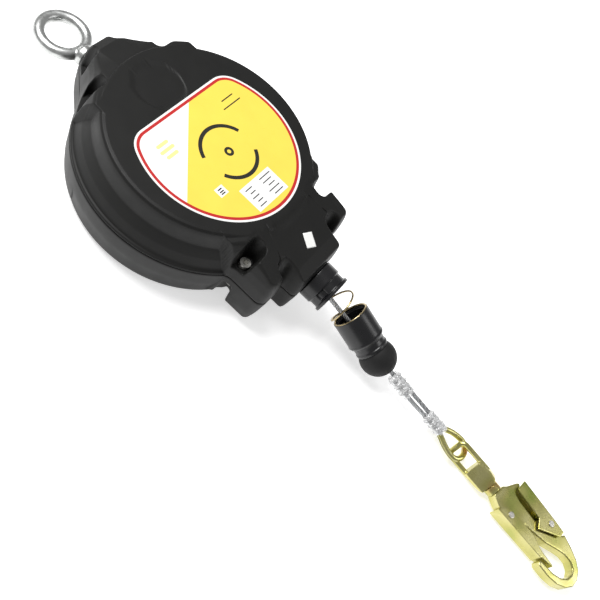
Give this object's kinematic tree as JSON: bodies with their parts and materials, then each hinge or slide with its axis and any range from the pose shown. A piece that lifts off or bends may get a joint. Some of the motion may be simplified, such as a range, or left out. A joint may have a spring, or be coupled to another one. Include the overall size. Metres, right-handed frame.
{
  "type": "self retracting lifeline",
  "caption": "Self retracting lifeline lying on its back: black moulded housing with anchor eye, wire rope, end buffer and a self locking swivel snap hook.",
  "frame": {"origin": "on the drum's axis, in the flat rear face that the housing lies on", "axes": "+Z out of the front face, +X from the anchor eye towards the snap hook, +Y completes a right-handed frame"},
  "size_m": [0.6973, 0.222, 0.0869],
  "materials": {
    "housing_black": "moulded black nylon, fine spark-eroded texture",
    "screw_steel": "zinc plated steel",
    "label_film": "printed polyester label",
    "frame_steel": "stamped stainless sheet",
    "hard_steel": "hardened steel, oiled",
    "spring_steel": "spring steel with a straw tint",
    "nozzle_black": "smooth moulded black nylon",
    "liner_white": "low friction guide bush",
    "wire_rope": "galvanised stranded wire rope",
    "galvanised": "drop forged steel, galvanised",
    "aluminium_drum": "machined and crimped aluminium",
    "bronze": "sintered bronze",
    "friction_lining": "bonded friction lining",
    "ball_rubber": "dull black rubber",
    "clear_sleeve": "clear heat shrunk film",
    "yellow_zinc": "yellow chromated zinc on forged steel",
    "rivet_bright": "bright zinc rivet heads"
  },
  "bodies": {
    "housing": {"front_cover": "housing_black", "rear_cover": "housing_black", "cover_screws": "screw_steel", "cover_nuts": "screw_steel", "front_label": "label_film", "rear_frame_plate": "frame_steel", "front_frame_plate": "frame_steel", "frame_posts": "frame_steel", "ring_spacers": "screw_steel", "ratchet_ring": "hard_steel", "anchor_bracket": "frame_steel", "drum_shaft": "hard_steel", "shaft_nut": "screw_steel", "spring_case": "frame_steel", "spring_case_lid": "frame_steel", "mainspring": "spring_steel", "nozzle": "nozzle_black", "cable_liner": "liner_white", "cable_lead": "wire_rope", "buffer_spring": "spring_steel"},
    "eye": {"anchor_eye": "galvanised", "eye_washer": "screw_steel", "eye_nut": "screw_steel"},
    "drum": {"drum_core": "aluminium_drum", "drum_flange_rear": "aluminium_drum", "drum_flange_front": "aluminium_drum", "drum_rivets": "aluminium_drum", "drum_bushes": "bronze", "cable_anchor": "bronze", "wound_cable": "wire_rope", "friction_disc_rear": "friction_lining", "friction_disc_front": "friction_lining", "pressure_plate": "hard_steel", "pressure_nut": "screw_steel"},
    "carrier": {"pawl_carrier": "hard_steel", "pawl_pins": "hard_steel", "pawl_springs": "spring_steel"},
    "pawl_a": {"pawl_a": "hard_steel"},
    "pawl_b": {"pawl_b": "hard_steel"},
    "lifeline": {"lifeline_cable": "wire_rope", "ball_stop": "ball_rubber", "ferrule_upper": "aluminium_drum", "ferrule_lower": "aluminium_drum", "sleeve_upper": "clear_sleeve", "sleeve_lower": "clear_sleeve", "thimble": "yellow_zinc"},
    "buffer": {"buffer_cup": "nozzle_black"},
    "bow": {"swivel_bow": "yellow_zinc"},
    "hook": {"hook_body": "yellow_zinc", "swivel_stud": "yellow_zinc", "gate_rivet": "rivet_bright", "lock_rivet": "rivet_bright"},
    "gate": {"hook_gate": "yellow_zinc"},
    "lock": {"lock_lever": "yellow_zinc"}
  },
  "joints": [
    {"name": "eye_swivel", "type": "hinge", "parent": "housing", "child": "eye", "pos_m": [-0.1, 0, 0.045], "axis": [1, 0, 0], "continuous": true},
    {"name": "drum_spin", "type": "hinge", "parent": "housing", "child": "drum", "pos_m": [0, 0, 0.045], "axis": [0, 0, 1], "range_deg": [0, 60], "stiffness_Nm_per_rad": 0.2, "springref_deg": -171.89},
    {"name": "brake_slip", "type": "hinge", "parent": "drum", "child": "carrier", "pos_m": [0, 0, 0.0667], "axis": [0, 0, 1], "continuous": true},
    {"name": "pawl_a_swing", "type": "hinge", "parent": "carrier", "child": "pawl_a", "pos_m": [0.054, 0, 0.07], "axis": [0, 0, -1], "range_deg": [0, 18], "stiffness_Nm_per_rad": 0.01, "springref_deg": -17.19},
    {"name": "pawl_b_swing", "type": "hinge", "parent": "carrier", "child": "pawl_b", "pos_m": [-0.054, 0, 0.07], "axis": [0, 0, -1], "range_deg": [0, 18], "stiffness_Nm_per_rad": 0.01, "springref_deg": -17.19},
    {"name": "cable_payout", "type": "slide", "parent": "housing", "child": "lifeline", "axis": [0.9816, 0, -0.1908], "range_m": [0, 0.0631]},
    {"name": "buffer_stroke", "type": "slide", "parent": "housing", "child": "buffer", "axis": [-0.9816, 0, 0.1908], "range_m": [0, 0.015], "stiffness_N_per_m": 800, "springref_m": -0.003, "deforming": ["buffer_spring"]},
    {"name": "bow_swing", "type": "hinge", "parent": "lifeline", "child": "bow", "pos_m": [0.3485, 0, 0.0104], "axis": [0.0697, 0.6117, 0.788], "range_deg": [-6, 24]},
    {"name": "hook_swivel", "type": "hinge", "parent": "bow", "child": "hook", "pos_m": [0.38824, -0.00453, 0.0104], "axis": [0.9936, -0.1132, 0], "continuous": true},
    {"name": "gate_swing", "type": "hinge", "parent": "hook", "child": "gate", "pos_m": [0.42314, -0.01716, 0.0104], "axis": [0, 0, 1], "range_deg": [0, 14], "stiffness_Nm_per_rad": 0.05, "springref_deg": -17.19},
    {"name": "lock_press", "type": "hinge", "parent": "hook", "child": "lock", "pos_m": [0.46, 0.00602, 0.0104], "axis": [0, 0, 1], "range_deg": [0, 7.5], "stiffness_Nm_per_rad": 0.1, "springref_deg": -17.19}
  ],
  "couplings": [
    {"joint": "cable_payout", "follows": "drum_spin", "m_per_rad": 0.0602}
  ]
}
